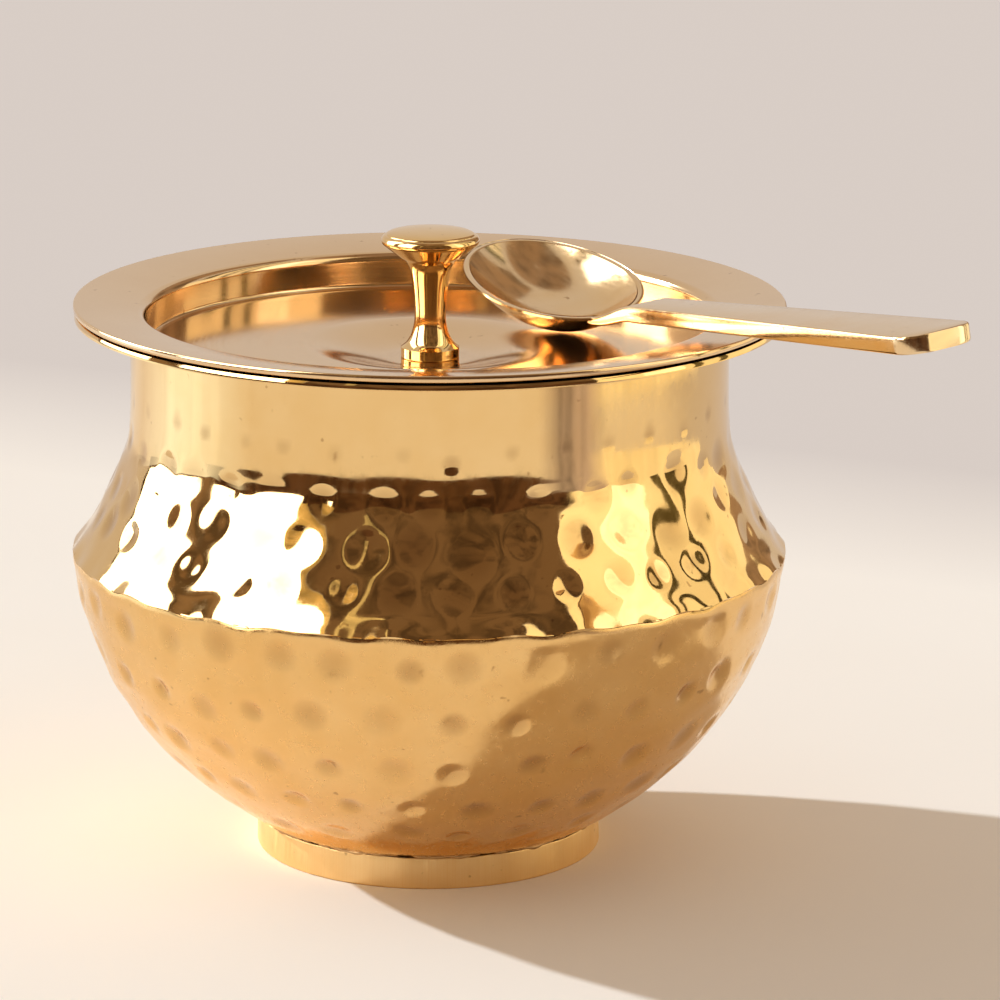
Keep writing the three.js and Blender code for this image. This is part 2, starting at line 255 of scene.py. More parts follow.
def respaced(path, spacing):
    """The same path with its points at equal distances."""
    lengths = np.concatenate([[0], np.cumsum(np.linalg.norm(np.diff(path, axis=0), axis=1))])
    marks = np.linspace(0, lengths[-1], max(2, int(lengths[-1] / spacing) + 1))
    return np.stack([np.interp(marks, lengths, path[:, k]) for k in (0, 1)], 1)


def ramp(value, start, end):
    """0 before start, 1 beyond end and even in between."""
    return np.clip((value - start) / (end - start), 0, 1)


def left_of(path):
    """Unit vectors to the left of the path's direction."""
    run = np.gradient(path, axis=0)
    run /= np.linalg.norm(run, axis=1)[:, None]
    return np.stack([-run[:, 1], run[:, 0]], 1)


def softened(outline, radius, steps=4):
    """A closed outline with its sharp corners rounded."""
    outline = np.asarray(outline, float)
    result = []
    for i, here in enumerate(outline):
        back = outline[i - 1] - here
        ahead = outline[(i + 1) % len(outline)] - here
        back_length, ahead_length = np.linalg.norm(back), np.linalg.norm(ahead)
        straightness = -np.dot(back, ahead) / (back_length * ahead_length)
        if straightness > 0.94:
            result.append(here)
            continue
        cut = min(radius, 0.45 * back_length, 0.45 * ahead_length)
        first = here + back / back_length * cut
        last = here + ahead / ahead_length * cut
        for t in np.linspace(0, 1, steps + 1):
            result.append(first * (1 - t) ** 2 + 2 * here * t * (1 - t) + last * t**2)
    return np.array(result)


def bowl_path():
    slope = math.radians(TOE_SLOPE)
    bend = BOTTOM_DROP / (1 - math.cos(slope))
    centre = (TOE[0] - bend * math.sin(slope), TOE[1] - BOTTOM_DROP + bend)
    bottom = arc(centre, bend, -90, -90 + TOE_SLOPE, 6)
    side = bezier(
        TOE,
        (TOE[0] + TOE_REACH * math.cos(slope), TOE[1] + TOE_REACH * math.sin(slope)),
        (WIDEST[0] - SIDE_PULL, WIDEST[1] - SIDE_DROP),
        WIDEST,
        200,
    )
    turn = arc((WIDEST[0] - BELT_BEND, CREASE - BELT_BEND), BELT_BEND, 0, BELT_ARC, 6)
    return bottom, np.vstack([side, turn])


def shoulder_path():
    slope = math.radians(SHOULDER_SLOPE)
    pull = (-SHOULDER_PULL * math.sin(slope), SHOULDER_PULL * math.cos(slope))
    curve = bezier(
        SHOULDER,
        (SHOULDER[0] + pull[0], SHOULDER[1] + pull[1]),
        (NECK[0], NECK[1] - NECK_EASE),
        NECK,
        160,
    )
    neck = np.array([NECK, (NECK[0], MOUTH[1])])
    body = respaced(np.vstack([curve, neck[1:]]), PROFILE_SPACING)
    # The neck eases into the shoulder over a few millimetres.
    reach = np.arange(-EASE_STEPS, EASE_STEPS + 1)
    weights = np.exp(-0.5 * (reach / EASE_SPREAD) ** 2)
    weights /= weights.sum()
    padded = np.pad(body[:, 0], EASE_STEPS, mode="edge")
    eased = np.convolve(padded, weights, "valid")
    share = ramp(body[:, 1], *EASE_FROM) * ramp(body[:, 1], MOUTH[1], MOUTH[1] - EASE_TO)
    body[:, 0] += (eased - body[:, 0]) * share
    # At its foot the neck widens a little towards the shoulder.
    from_foot = body[:, 1] - NECK[1]
    fade = np.where(from_foot > 0, from_foot / FLARE_FADE_UP, -from_foot / FLARE_FADE_DOWN)
    body[:, 0] += NECK_FLARE * np.exp(-fade)
    mouth = arc(MOUTH, MOUTH_BEND, 180, 90 + LIP_SLOPE, 10)
    rise = (LIP_RADIUS - mouth[-1, 0]) * math.tan(math.radians(LIP_SLOPE))
    lip = np.array([(LIP_RADIUS, mouth[-1, 1] + rise)])
    return body, np.vstack([mouth, lip])


# Meshes

def grid_faces(rows, columns, around=True, closed=False):
    last = rows if closed else rows - 1
    row = np.arange(last)[:, None]
    column = np.arange(columns if around else columns - 1)[None, :]
    after = (column + 1) % columns
    above = (row + 1) % rows
    low = row * columns
    high = above * columns
    corners = [low + column, low + after, high + after, high + column]
    return np.stack(corners, -1).reshape(-1, 4)


def made_mesh(name, points, faces, sharp=40):
    """A smooth mesh object from points in millimetres round the pot's axis."""
    shifted = (np.asarray(points, float) + (*AXIS, 0)) * MM
    mesh = bpy.data.meshes.new(name)
    mesh.from_pydata(shifted.tolist(), [], [tuple(f) for f in faces])
    work = bmesh.new()
    work.from_mesh(mesh)
    bmesh.ops.recalc_face_normals(work, faces=work.faces)
    work.to_mesh(mesh)
    work.free()
    mesh.shade_smooth()
    mesh.set_sharp_from_angle(angle=math.radians(sharp))
    piece = bpy.data.objects.new(name, mesh)
    bpy.context.scene.collection.objects.link(piece)
    return piece


def dressed(piece, body, slot, material, *nodes):
    piece.data.materials.append(material)
    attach(piece, body)
    if nodes:
        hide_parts(*nodes)
    return piece


def turned_points(path, steps):
    angles = np.linspace(0, 2 * math.pi, steps, endpoint=False)
    radius = path[:, 0][:, None]
    height = np.broadcast_to(path[:, 1][:, None], (len(path), steps))
    return np.stack([radius * np.cos(angles), radius * np.sin(angles), height], -1)


def turned(name, outline, steps):
    """A turned solid from a closed outline that stays off the axis."""
    points = turned_points(np.asarray(outline, float), steps)
    faces = grid_faces(len(outline), steps, closed=True)
    return made_mesh(name, points.reshape(-1, 3), faces)


# Hammering

def row_marks(rows, path):
    """Centre, radius, depth and edge of each hammer mark, in loose staggered rows."""
    marks = []
    for height, count, radius, depth in rows:
        start = rng.uniform(0, 2 * math.pi)
        for k in range(count):
            angle = start + (k + rng.normal(0, MARK_TURN)) * 2 * math.pi / count
            level = height + rng.normal(0, MARK_RISE)
            nearest = path[np.argmin(np.abs(path[:, 1] - level))]
            centre = (nearest[0] * math.cos(angle), nearest[0] * math.sin(angle), nearest[1])
            size = radius * rng.uniform(*MARK_SIZE)
            deep = depth * rng.uniform(*MARK_DEPTH)
            marks.append((np.array(centre), size, deep, rng.uniform(*MARK_EDGE)))
    return marks


def hammered(points, marks):
    """How far each point is pushed in, and how dark it is there: painted shade in each dent, darkest at its
    middle, plus the tool's own nick.
    """
    push = np.zeros(points.shape[:2])
    nick_and_dent_shade = np.zeros(points.shape[:2])
    angles = np.arctan2(points[0, :, 1], points[0, :, 0])
    for centre, size, depth, edge in marks:
        reach = size * MARK_REACH / math.hypot(centre[0], centre[1])
        turn = (angles - math.atan2(centre[1], centre[0]) + math.pi) % (2 * math.pi) - math.pi
        columns = np.where(np.abs(turn) < reach)[0]
        rows = np.where(np.abs(points[:, 0, 2] - centre[2]) < size * MARK_REACH)[0]
        if not len(rows) or not len(columns):
            continue
        patch = np.ix_(rows, columns)
        apart = np.linalg.norm(points[patch] - centre, axis=-1)
        inside = np.clip(1 - (apart / size) ** 2, 0, 1)
        push[patch] += depth * inside**edge
        # Painted shade in the dent, darkest at its middle
        nick_and_dent_shade[patch] = np.maximum(nick_and_dent_shade[patch], rng.uniform(*MARK_PAINTED_SHADE) * inside)
        if rng.random() < NICK_CHANCE:
            aside = rng.normal(0, NICK_ASIDE, 3) * size
            near = np.linalg.norm((points[patch] - centre - aside) * NICK_STRETCH, axis=-1)
            dark = np.clip(NICK_DARKNESS - near / rng.uniform(*NICK_SIZE), 0, 1)
            nick_and_dent_shade[patch] = np.maximum(nick_and_dent_shade[patch], dark)
    return push, nick_and_dent_shade


def unevenness(points, size):
    """Slow irregular waves round the pot, from 0 to about 1."""
    angle = np.arctan2(points[..., 1], points[..., 0])
    total = np.zeros(points.shape[:2])
    for _ in range(UNEVEN_WAVES):
        turns = rng.integers(3, int(UNEVEN_TURNS / size))
        rise = 2 * math.pi * rng.normal(0, 1 / size)
        total += np.cos(turns * angle + rise * points[..., 2] + rng.uniform(0, 6.28))
    return np.clip(0.5 + total / (UNEVEN_SPREAD * math.sqrt(UNEVEN_WAVES)), 0, 1)


def crease_wave(angle):
    return sum(height * np.sin(turns * angle + start) for height, turns, start in CREASE_WAVES)


def shell(name, path, inner_every, push, nick_and_dent_shade, wave, top_cap=None, bottom_cap=None):
    """A hammered sheet: its pushed outer side and, a wall inside it, its inner side."""
    outer = turned_points(path, ROUND_STEPS)
    side = left_of(path)
    angles = np.linspace(0, 2 * math.pi, ROUND_STEPS, endpoint=False)
    inward = np.stack(
        [
            side[:, 0][:, None] * np.cos(angles),
            side[:, 0][:, None] * np.sin(angles),
            np.broadcast_to(side[:, 1][:, None], (len(path), ROUND_STEPS)),
        ],
        -1,
    )
    outer = outer + inward * push[..., None]
    outer[..., 2] += wave
    keep = np.unique(np.append(np.arange(0, len(path), inner_every), len(path) - 1))
    inner = (outer + inward * WALL)[keep][::-1]
    rings = [outer]
    shade = [nick_and_dent_shade]
    if top_cap is not None:
        rings.append(turned_points(top_cap, ROUND_STEPS))
        shade.append(np.zeros((len(top_cap), ROUND_STEPS)))
    rings.append(inner)
    shade.append(np.zeros((len(inner), ROUND_STEPS)))
    if bottom_cap is not None:
        rings.append(turned_points(bottom_cap, ROUND_STEPS))
        shade.append(np.zeros((len(bottom_cap), ROUND_STEPS)))
    points = np.concatenate(rings)
    faces = grid_faces(len(points), ROUND_STEPS, closed=True)
    piece = made_mesh(name, points.reshape(-1, 3), faces, 50)
    # Darkness per point: the tool's nicks and the painted shade in the hammer dents
    attribute = piece.data.attributes.new("nick_and_dent_shade", "FLOAT", "POINT")
    attribute.data.foreach_set("value", np.concatenate(shade).reshape(-1))
    return piece


def bowl():
    bottom, side = bowl_path()
    side = respaced(side, BOWL_SPACING)
    flat = np.vstack([[(CENTRE_HOLE, bottom[0, 1])], respaced(bottom, BOTTOM_SPACING)[:-1]])
    path = np.vstack([flat, side])
    outer = turned_points(path, ROUND_STEPS)
    push, nick_and_dent_shade = hammered(outer, row_marks(BOWL_ROWS, side))
    level = path[:, 1][:, None]
    worked = ramp(path[:, 0][:, None], *BOWL_WORKED_RADIUS) * ramp(level, *BOWL_WORKED_TOP)
    depth, size = BOWL_UNEVEN
    push = push * worked + depth * unevenness(outer, size) * worked
    near_crease = ramp(level, CREASE - CREASE_REACH, CREASE) ** 2
    angle = np.arctan2(outer[..., 1], outer[..., 0])
    wave = (crease_wave(angle) - CREASE_SEAM) * near_crease
    lap_top = LAP_SHELF_RADIUS - LAP_HEIGHT * LAP_LEAN
    lap = np.array([
        (LAP_SHELF_RADIUS, CREASE - LAP_SHELF_DROP),
        (LAP_SHELF_RADIUS, CREASE),
        (lap_top, CREASE + LAP_HEIGHT),
        (lap_top - WALL, CREASE + LAP_HEIGHT),
        (LAP_SHELF_RADIUS - WALL, CREASE - LAP_SHELF_DROP),
    ])
    return shell("bowl_hammered", path, 3, push, nick_and_dent_shade, wave, top_cap=lap)


def shoulder():
    body, rim = shoulder_path()
    worked_part = body[body[:, 1] < PLAIN_FROM]
    plain_part = body[body[:, 1] >= PLAIN_FROM]
    path = np.vstack([
        respaced(worked_part, WORKED_SPACING),
        respaced(plain_part, PLAIN_SPACING)[1:],
        rim[1:-1],
        *(rim[-1] + (rim[-2] - rim[-1]) * stop for stop in LIP_STOPS),
    ])
    outer = turned_points(path, ROUND_STEPS)
    push, nick_and_dent_shade = hammered(outer, row_marks(SHOULDER_ROWS, body))
    level = path[:, 1][:, None]
    worked = ramp(level, *SHOULDER_WORKED_LOW) * ramp(level, *SHOULDER_WORKED_TOP)
    depth, size = SHOULDER_UNEVEN
    push = push * worked + depth * unevenness(outer, size) * worked * ramp(level, *SHOULDER_UNEVEN_TOP)
    held = CREASE + CREASE_HOLD
    near_crease = ramp(level, held + CREASE_REACH, held) ** 2
    angle = np.arctan2(outer[..., 1], outer[..., 0])
    wave = crease_wave(angle) * near_crease
    edge = np.array([(EDGE[0] - EDGE_WIDTH, EDGE[1] + EDGE_RISE), EDGE])
    lip_end = path[-1] + (path[-1] - path[-2]) * 0.05
    slope = math.radians(LIP_SLOPE)
    across = np.array((-math.sin(slope), math.cos(slope))) * WALL
    round_lip = np.array([lip_end + across * share + (out, up) for share, out, up in LIP_ROUND])
    return shell("shoulder_hammered", path, 2, push, nick_and_dent_shade, wave, top_cap=round_lip, bottom_cap=edge)


def foot_ring():
    inside = FOOT_RADIUS - FOOT_WALL
    _, side = bowl_path()
    level = np.interp([inside, FOOT_RADIUS], side[:60, 0], side[:60, 1]) - FOOT_SINK
    corners = [(inside, 0), (FOOT_RADIUS, 0), (FOOT_RADIUS, level[1]), (inside, level[0])]
    outline = softened(corners, FOOT_SOFT)
    points = turned_points(outline, RING_STEPS)
    angle = np.arctan2(points[..., 1], points[..., 0])
    share = points[..., 2] / FOOT_HEIGHT
    waves = (
        np.sin(FOOT_DENT_TURNS[0] * angle + 3 * share),
        np.sin(FOOT_DENT_TURNS[1] * angle + 1.1),
    )
    dents = FOOT_DENTS[0] * waves[0] + FOOT_DENTS[1] * waves[1]
    # The dents only go inwards, and more so towards the bowl.
    factor = 1 - np.clip(dents + sum(FOOT_DENTS), 0, 1) * share / FOOT_RADIUS
    points[..., :2] *= factor[..., None]
    faces = grid_faces(len(outline), RING_STEPS, closed=True)
    return made_mesh("foot_ring_brushed", points.reshape(-1, 3), faces)


def braze():
    """The thin uneven bead of brazing metal between the foot ring and the bowl."""
    turns = np.linspace(0, 2 * math.pi, BEAD_STEPS, endpoint=False)
    thick = BEAD + 0.16 * np.sin(19 * turns) * np.sin(7 * turns + 1) + 0.1 * np.sin(53 * turns)
    lift = BEAD_LIFT + 0.132 * np.sin(11 * turns + 2) + 0.096 * np.sin(29 * turns)
    rings = []
    for corner in np.radians(np.arange(0, 360, 36)):
        radius = FOOT_RADIUS - BEAD + thick * np.cos(corner)
        height = FOOT_HEIGHT + lift + thick * BEAD_FLATNESS * np.sin(corner)
        rings.append(np.stack([radius * np.cos(turns), radius * np.sin(turns), height], 1))
    faces = grid_faces(len(rings), BEAD_STEPS, closed=True)
    return made_mesh("foot_braze", np.concatenate(rings), faces, 60)


def lid():
    slope = math.radians(LIP_SLOPE)
    roll_end = DISH_RADIUS + LID_BEND * (1 - math.sin(slope))
    roll_top = LID_EDGE[1] - (LID_EDGE[0] - roll_end) * math.tan(slope)
    roll_centre = (DISH_RADIUS + LID_BEND, roll_top - LID_BEND * math.cos(slope))
    roll = arc(roll_centre, LID_BEND, 90 + LIP_SLOPE, 180, 16)
    ring_floor = DISH_FLOOR + SEAT_DIP
    corner_centre = (DISH_RADIUS - DISH_CORNER, ring_floor + DISH_CORNER)
    corner = arc(corner_centre, DISH_CORNER, 0, -90, 8)
    ring = [(radius, ring_floor) for radius in FLOOR_RINGS]
    # From the flat outer floor a smooth dip leads down to the knob's seat.
    share = np.linspace(0, 1, DIP_RINGS)
    dip_radius = DIP_RADIUS + (SEAT_RADIUS - DIP_RADIUS) * share
    dip = np.stack([dip_radius, ring_floor - SEAT_DIP * share**2 * (3 - 2 * share)], 1)
    upper = np.vstack([[LID_EDGE], roll, corner, ring, dip])
    seat = np.array([(SEAT_INNER, DISH_FLOOR), (HOLE_RADIUS, DISH_FLOOR)])
    under_seat = seat[::-1] - (0, WALL)
    under = upper + left_of(upper) * WALL
    under[0] = (LID_EDGE[0], LID_EDGE[1] - WALL / math.cos(slope))
    outline = np.vstack([upper, seat, under_seat, under[::-1]])
    return turned("lid_spun", softened(outline, LID_SOFT), RING_STEPS)


def knob():
    def at(radius, height):
        return radius, DISH_FLOOR + height

    half = KNOB_CAP_EDGE / 2
    edge = arc(at(KNOB_CAP[0] - half, KNOB_CAP[1] + half), half, -60, 80, 14)
    stem = spline([at(*p) for p in (KNOB_FOOT, *KNOB_STEM)] + [tuple(edge[0])], 8)
    top = KNOB_CAP[1] + KNOB_CAP_EDGE + KNOB_DOME + DISH_FLOOR
    dome = arc((0, edge[-1, 1]), edge[-1, 0], 0, 89, 18, top - edge[-1, 1])
    foot = arc(at(KNOB_FOOT[0] - KNOB_FOOT_BEND, KNOB_FOOT_BEND), KNOB_FOOT_BEND, -90, 0, 4)
    bore = np.array([
        at(KNOB_BORE_TIP, KNOB_BORE + HOLE_RADIUS),
        at(HOLE_RADIUS, KNOB_BORE),
        at(HOLE_RADIUS, 0),
    ])
    return turned("knob_turned", np.vstack([bore, foot, stem, edge[1:], dome[1:]]), 96)


# Spoon

def spoon_cup():
    """The spoon's bowl as one closed sheet with a rounded rim."""
    steps = 144
    turn = np.linspace(0, 2 * math.pi, steps, endpoint=False)

    def ring(share, inset, height):
        reach = np.where(np.cos(turn) > 0, SPOON_HEEL, SPOON_TIP) - inset
        across = SPOON_HALF - inset
        flat = np.full(steps, float(height))
        return np.stack([share * reach * np.cos(turn), share * across * np.sin(turn), flat], 1)

    shares = np.sin(np.linspace(0.02, 0.5, 36) * math.pi)
    inner_depth = SPOON_DEPTH - SPOON_WALL
    outside = [ring(s, 0, -SPOON_DEPTH * (1 - s**SPOON_FULLNESS)) for s in shares[:-1]]
    inside = [ring(s, SPOON_WALL, -inner_depth * (1 - s**SPOON_FULLNESS)) for s in shares[:-1]]
    rim = [ring(1, inset, height) for inset, height in SPOON_RIM]
    rings = [*outside, *rim, *inside[::-1]]
    points = np.concatenate(rings)
    faces = [tuple(f) for f in grid_faces(len(rings), steps)]
    under = len(points)
    top = (len(rings) - 1) * steps
    points = np.vstack([points, (0, 0, -SPOON_DEPTH), (0, 0, -inner_depth)])
    for i in range(steps):
        after = (i + 1) % steps
        faces.append((under, after, i))
        faces.append((under + 1, top + i, top + after))
    return points, faces


def handle_stations():
    slope = math.radians(HANDLE_SLOPE)

    def on_handle(run):
        return np.array((SPOON_HEEL + run * math.cos(slope), HANDLE_RISE + run * math.sin(slope)))

    root = np.array((SPOON_HEEL - HANDLE_OVERLAP, -HANDLE_SINK))
    neck = bezier(root, root + (NECK_LEAD, 0), on_handle(NECK_RUN - NECK_LEAD), on_handle(NECK_RUN), 24)
    lean = np.arctan2(np.gradient(neck[:, 1]), np.gradient(neck[:, 0]))
    first, narrow, last = HANDLE_HALVES
    thin, thick = HANDLE_THICKNESS
    stations = []
    for share, place, angle in zip(np.linspace(0, 1, 25), neck, lean):
        half = first + (narrow - first) * share
        stations.append((place, angle, half, thin + (thick - thin) * share))
    corner = HANDLE_LENGTH - HANDLE_CORNER
    runs = list(np.linspace(NECK_RUN, corner, 30)[1:])
    runs += [corner + HANDLE_CORNER * math.sin(math.radians(a)) for a in range(10, 91, 10)]
    for run in runs:
        share = (run - NECK_RUN) / (HANDLE_LENGTH - NECK_RUN)
        past = max(0, run - corner)
        cut = HANDLE_CORNER - math.sqrt(max(HANDLE_CORNER**2 - past**2, 0))
        stations.append((on_handle(run), slope, narrow + (last - narrow) * share - cut, thick))
    return stations


def spoon_handle():
    """The flat handle, with broken edges, closed at both ends."""
    rings = []
    for place, lean, half, thick in handle_stations():
        corners = [(-half, 0), (-half, -thick), (half, -thick), (half, 0)]
        section = softened(corners, HANDLE_SOFT, 3)
        across, up = section[:, 0], section[:, 1]
        along = place[0] - up * math.sin(lean)
        height = place[1] + up * math.cos(lean)
        rings.append(np.stack([along, across, height], 1))
    count = len(rings[0])
    points = np.concatenate(rings)
    faces = [tuple(f) for f in grid_faces(len(rings), count)]
    faces.append(tuple(range(count)))
    faces.append(tuple(reversed(range(len(points) - count, len(points)))))
    return points, faces


def spoon_turned(points):
    roll, tilt, azimuth = (math.radians(a) for a in SPOON_TURN)
    turn = Matrix.Rotation(azimuth, 3, "Z") @ Matrix.Rotation(tilt, 3, "Y") @ Matrix.Rotation(roll, 3, "X")
    return np.asarray(points) @ np.array(turn).T


def cut_with(piece, cutter, operation):
    modifier = piece.modifiers.new("cut", "BOOLEAN")
    modifier.object = cutter
    modifier.operation = operation
    modifier.solver = "EXACT"
    graph = bpy.context.evaluated_depsgraph_get()
    result = bpy.data.meshes.new_from_object(piece.evaluated_get(graph))
    piece.modifiers.clear()
    piece.data = result
    bpy.data.objects.remove(cutter)


def hollow_cutter(place):
    """The room inside the spoon's bowl, which the handle's root must leave free."""
    steps = 96
    spare = 0.05
    turn = np.linspace(0, 2 * math.pi, steps, endpoint=False)
    shares = np.linspace(0.1, 1, 20)
    inner_depth = SPOON_DEPTH - SPOON_WALL + 0.02
    rings = []
    for share in [*shares, 1.0]:
        reach = np.where(np.cos(turn) > 0, SPOON_HEEL, SPOON_TIP) - SPOON_WALL + spare
        height = -inner_depth * (1 - share**SPOON_FULLNESS)
        flat = np.full(steps, height)
        across = SPOON_HALF - SPOON_WALL + spare
        rings.append(np.stack([share * reach * np.cos(turn), share * across * np.sin(turn), flat], 1))
    rings[-1][:, 2] = 6
    points = np.concatenate(rings)
    faces = [tuple(f) for f in grid_faces(len(rings), steps)]
    faces.append(tuple(range(steps)))
    faces.append(tuple(range(len(points) - steps, len(points))))
    return made_mesh("hollow", place(points), faces)


def spoon():
    cup_points, cup_faces = spoon_cup()
    handle_points, handle_faces = spoon_handle()
    lowest = min(spoon_turned(cup_points)[:, 2].min(), spoon_turned(handle_points)[:, 2].min())
    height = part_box("spoon")[0][2] / MM - lowest

    def place(points):
        return spoon_turned(points) + (*SPOON_PLACE, height)

    handle = made_mesh("spoon_handle", place(handle_points), handle_faces, 35)
    cut_with(handle, hollow_cutter(place), "DIFFERENCE")
    cup = made_mesh("spoon_beaten", place(cup_points), cup_faces, 35)
    joined = bmesh.new()
    joined.from_mesh(cup.data)
    joined.from_mesh(handle.data)
    joined.to_mesh(cup.data)
    joined.free()
    bpy.data.objects.remove(handle)
    cup.data.shade_smooth()
    cup.data.set_sharp_from_angle(angle=math.radians(35))
    return cup


# Materials

def node(tree, kind, **settings):
    """A new shader node. Settings that name a socket fill the socket, the others the node."""
    made = tree.nodes.new(kind)
    for name, value in settings.items():
        socket = made.inputs.get(name.replace("_", " "))
        if socket is not None:
            socket.default_value = value
        else:
            setattr(made, name, value)
    return made


def around_axis(tree):
    """Distance from the pot's axis, angle round it and height, in metres and radians."""
    link = tree.links.new
    place = node(tree, "ShaderNodeTexCoord")
    moved = node(tree, "ShaderNodeVectorMath", operation="SUBTRACT")
    moved.inputs[1].default_value = (AXIS[0] * MM, AXIS[1] * MM, 0)
    link(place.outputs["Object"], moved.inputs[0])
    split = node(tree, "ShaderNodeSeparateXYZ")
    link(moved.outputs[0], split.inputs[0])
    flat = node(tree, "ShaderNodeVectorMath", operation="MULTIPLY")
    flat.inputs[1].default_value = (1, 1, 0)
    link(moved.outputs[0], flat.inputs[0])
    radius = node(tree, "ShaderNodeVectorMath", operation="LENGTH")
    link(flat.outputs[0], radius.inputs[0])
    angle = node(tree, "ShaderNodeMath", operation="ARCTAN2")
    link(split.outputs["X"], angle.inputs[0])
    link(split.outputs["Y"], angle.inputs[1])
    joined = node(tree, "ShaderNodeCombineXYZ")
    link(radius.outputs["Value"], joined.inputs[0])
    link(angle.outputs[0], joined.inputs[1])
    link(split.outputs["Z"], joined.inputs[2])
    return joined.outputs[0]


def stretched(tree, source, scale):
    grown = node(tree, "ShaderNodeVectorMath", operation="MULTIPLY")
    grown.inputs[1].default_value = scale
    tree.links.new(source, grown.inputs[0])
    return grown.outputs[0]


def noise(tree, source, scale, detail=3.0):
    made = node(tree, "ShaderNodeTexNoise", Scale=1.0, Detail=detail, Roughness=0.6)
    tree.links.new(stretched(tree, source, scale), made.inputs["Vector"])
    return made.outputs["Fac"]


def ranged(tree, source, low, high, to_low, to_high):
    made = node(tree, "ShaderNodeMapRange")
    for index, value in enumerate((low, high, to_low, to_high), 1):
        made.inputs[index].default_value = value
    tree.links.new(source, made.inputs[0])
    return made.outputs[0]


def mixed(tree, share, first, second):
    """A colour mix. A colour may be given as it is or come from another node."""
    made = node(tree, "ShaderNodeMix", data_type="RGBA")
    tree.links.new(share, made.inputs[0])
    for socket, value in ((made.inputs[6], first), (made.inputs[7], second)):
        if isinstance(value, tuple):
            socket.default_value = (*value, 1)
        else:
            tree.links.new(value, socket)
    return made.outputs[2]


BRASS = (0.88, 0.61, 0.28)
BRASS_DEEP = (0.80, 0.50, 0.18)
BOWL_BRASS = (0.88, 0.57, 0.235)
BOWL_DEEP = (0.78, 0.44, 0.13)
LID_BRASS = (0.81, 0.575, 0.325)
LID_DEEP = (0.76, 0.52, 0.28)
# Dark colour for small stains and tool nicks, and also for the painted shade in the hammer dents
BRASS_STAIN_AND_SHADE = (0.34, 0.17, 0.06)
SPOON_BRASS = (0.82, 0.62, 0.38)
BEAD_BRASS = (0.62, 0.40, 0.19)
BEAD_DEEP = (0.3, 0.16, 0.07)
CLOUD_SCALE = (70, 70, 70)
SCRATCH_SCALE = (900, 260, 420)
SPECK_SCALE = (620, 620, 620)


def brass(name, polish, spread, lines, depth, nick_and_shade_darkness=0.0, tint=BRASS, deep=BRASS_DEEP):
    """Polished brass with fine tool lines, slow changes of tone, small dark marks and, where the mesh
    carries it, painted shade in the hammer dents.

    lines is how the fine lines are stretched, along radius, angle and height.
    """
    material = bpy.data.materials.new(name)
    material.use_nodes = True
    tree = material.node_tree
    shader = tree.nodes["Principled BSDF"]
    shader.inputs["Metallic"].default_value = 1
    place = around_axis(tree)
    plain = node(tree, "ShaderNodeTexCoord").outputs["Object"]
    cloud = noise(tree, plain, CLOUD_SCALE)
    fine = noise(tree, place, lines, 4)
    scratch = noise(tree, plain, SCRATCH_SCALE, 2)
    tone = mixed(tree, ranged(tree, cloud, 0.35, 0.75, 0, 0.55), tint, deep)
    speck = ranged(tree, noise(tree, plain, SPECK_SCALE, 1), 0.74, 0.8, 0, 0.5)
    marked_and_shaded = mixed(tree, speck, tone, BRASS_STAIN_AND_SHADE)
    # The per-point map darkens the tool nicks and paints shade into the hammer dents
    if nick_and_shade_darkness > 0:
        nick_and_shade_map = node(tree, "ShaderNodeAttribute", attribute_name="nick_and_dent_shade")
        marked_and_shaded = mixed(tree, ranged(tree, nick_and_shade_map.outputs["Fac"], 0, 1, 0, nick_and_shade_darkness), marked_and_shaded, BRASS_STAIN_AND_SHADE)
    tree.links.new(marked_and_shaded, shader.inputs["Base Color"])
    rough = ranged(tree, fine, 0.3, 0.7, polish - spread, polish + spread)
    tree.links.new(rough, shader.inputs["Roughness"])
    lined = node(tree, "ShaderNodeBump", Strength=0.5, Distance=depth * MM)
    tree.links.new(fine, lined.inputs["Height"])
    cut = node(tree, "ShaderNodeBump", Strength=0.3, Distance=depth * MM)
    tree.links.new(ranged(tree, scratch, 0.66, 0.72, 0, 1), cut.inputs["Height"])
    tree.links.new(lined.outputs[0], cut.inputs["Normal"])
    tree.links.new(cut.outputs[0], shader.inputs["Normal"])
    return material


# Stage

FLOOR_CREAM = (0.93, 0.91, 0.88)
FLOOR_WARM = (0.90, 0.86, 0.81)
# Floor colour beyond a slanted line behind the pot: painted shade, not the floor's own colour
FLOOR_PAINTED_SHADE = (0.693, 0.663, 0.66)
WORLD = (0.70, 0.63, 0.575)
AMBIENT = (0.58, 0.48, 0.39)
SUN_STRENGTH = 3.55
SUN_DIRECTION = (-0.80, 0.44, 0.41)
SUN_WIDTH = 1.6
SUN_COLOUR = (0.90, 0.96, 1.0)
FLOOR_HALF = 6
# Direction, in metres, along which the painted shadow on the floor begins and becomes full
PAINTED_SHADE_DIRECTION = (0.45, 0.89, 0)
PAINTED_SHADE_FROM = 0.2
PAINTED_SHADE_FULL = 0.3
MOTTLE_SCALE = (9, 9, 9)


